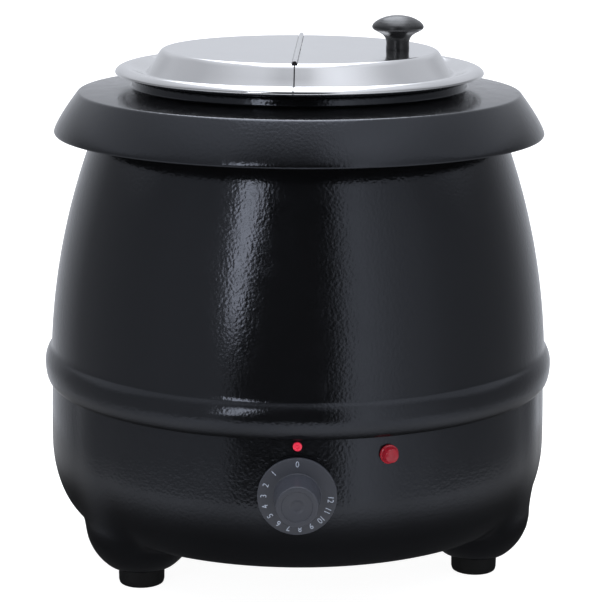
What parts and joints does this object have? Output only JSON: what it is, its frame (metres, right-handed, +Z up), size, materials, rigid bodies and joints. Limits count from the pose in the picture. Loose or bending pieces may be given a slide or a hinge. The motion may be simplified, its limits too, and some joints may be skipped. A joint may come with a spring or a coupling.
{
  "type": "soup kettle",
  "caption": "Electric soup kettle: black barrel body on short rubber feet, wide brim, lift-out steel pot in a water well, split hinged lid with a knob, and a numbered heat dial.",
  "frame": {"origin": "centre line of the barrel, on the plane that the feet stand on", "axes": "+Z up along the barrel's centre line, -Y towards the control dial, +X to the right as seen from the dial's side"},
  "size_m": [0.3506, 0.3718, 0.3754],
  "materials": {
    "black_coat": "satin black powder coat with a fine orange-peel texture",
    "base_coat": "plain matt black coat",
    "polished_steel": "polished stainless steel sheet",
    "drawn_steel": "deep-drawn stainless steel, satin",
    "zinc_steel": "bright zinc-plated steel",
    "galvanised_sheet": "dull zinc-coated sheet",
    "element_sheath": "heat-darkened steel sheath",
    "copper": "drawn copper, slightly dulled",
    "brass": "turned brass",
    "ceramic": "off-white moulded insulating body",
    "wire_insulation": "silicone lead insulation",
    "silicone": "grey silicone sponge",
    "foot_rubber": "matt black moulded rubber",
    "grey_plastic": "satin slate-grey moulded plastic",
    "black_plastic": "moulded black nylon",
    "knob_plastic": "satin-gloss black phenolic",
    "red_lens": "translucent red indicator lens",
    "red_plastic": "red moulded plastic"
  },
  "bodies": {
    "kettle_body": {"lower_shell": "black_coat", "upper_shell": "black_coat", "brim": "black_coat", "brim_gasket": "silicone", "brim_studs": "zinc_steel", "brim_nuts": "zinc_steel", "water_well": "drawn_steel", "heating_element": "element_sheath", "element_terminals": "ceramic", "element_clamp": "galvanised_sheet", "centre_stud": "zinc_steel", "clamp_nut": "zinc_steel", "base_plate": "base_coat", "base_plate_nut": "zinc_steel", "base_screws": "zinc_steel", "foot_left": "foot_rubber", "foot_right": "foot_rubber", "foot_rear": "foot_rubber", "foot_screws": "zinc_steel", "foot_nuts": "zinc_steel", "thermostat": "ceramic", "thermostat_screws": "zinc_steel", "capillary_bulb": "copper", "bulb_clips": "zinc_steel", "thermal_cutout": "black_plastic", "terminal_block": "ceramic", "terminal_screws": "brass", "internal_wires": "wire_insulation", "earth_stud": "brass", "earth_nuts": "brass", "lamp_lens": "red_lens", "lamp_body": "ceramic", "lamp_nut": "zinc_steel", "index_pip": "red_plastic", "gland_body": "black_plastic", "gland_seal": "foot_rubber", "gland_cap": "black_plastic", "gland_locknut": "black_plastic"},
    "dial": {"control_dial": "grey_plastic", "dial_shaft": "zinc_steel"},
    "pot": {"soup_pot": "drawn_steel"},
    "lid": {"lid_fixed_half": "polished_steel", "hinge_leaf_fixed": "polished_steel", "hinge_pin": "polished_steel", "hinge_rivets_fixed": "polished_steel"},
    "flap": {"lid_flap": "polished_steel", "hinge_leaf_flap": "polished_steel", "hinge_rivets_flap": "polished_steel", "knob": "knob_plastic", "knob_screw": "zinc_steel", "knob_washer": "zinc_steel"}
  },
  "joints": [
    {"name": "dial_turn", "type": "hinge", "parent": "kettle_body", "child": "dial", "pos_m": [0, -0.175, 0.0902], "axis": [0, 1, 0], "range_deg": [0, 265]},
    {"name": "pot_lift", "type": "slide", "parent": "kettle_body", "child": "pot", "axis": [0, 0, 1], "range_m": [0, 0.3]},
    {"name": "lid_lift", "type": "slide", "parent": "pot", "child": "lid", "axis": [0, 0, 1], "range_m": [0, 0.12]},
    {"name": "flap_hinge", "type": "hinge", "parent": "lid", "child": "flap", "pos_m": [-0.001, 0.00002, 0.35245], "axis": [-0.0244, -0.9997, 0], "range_deg": [0, 150]}
  ]
}
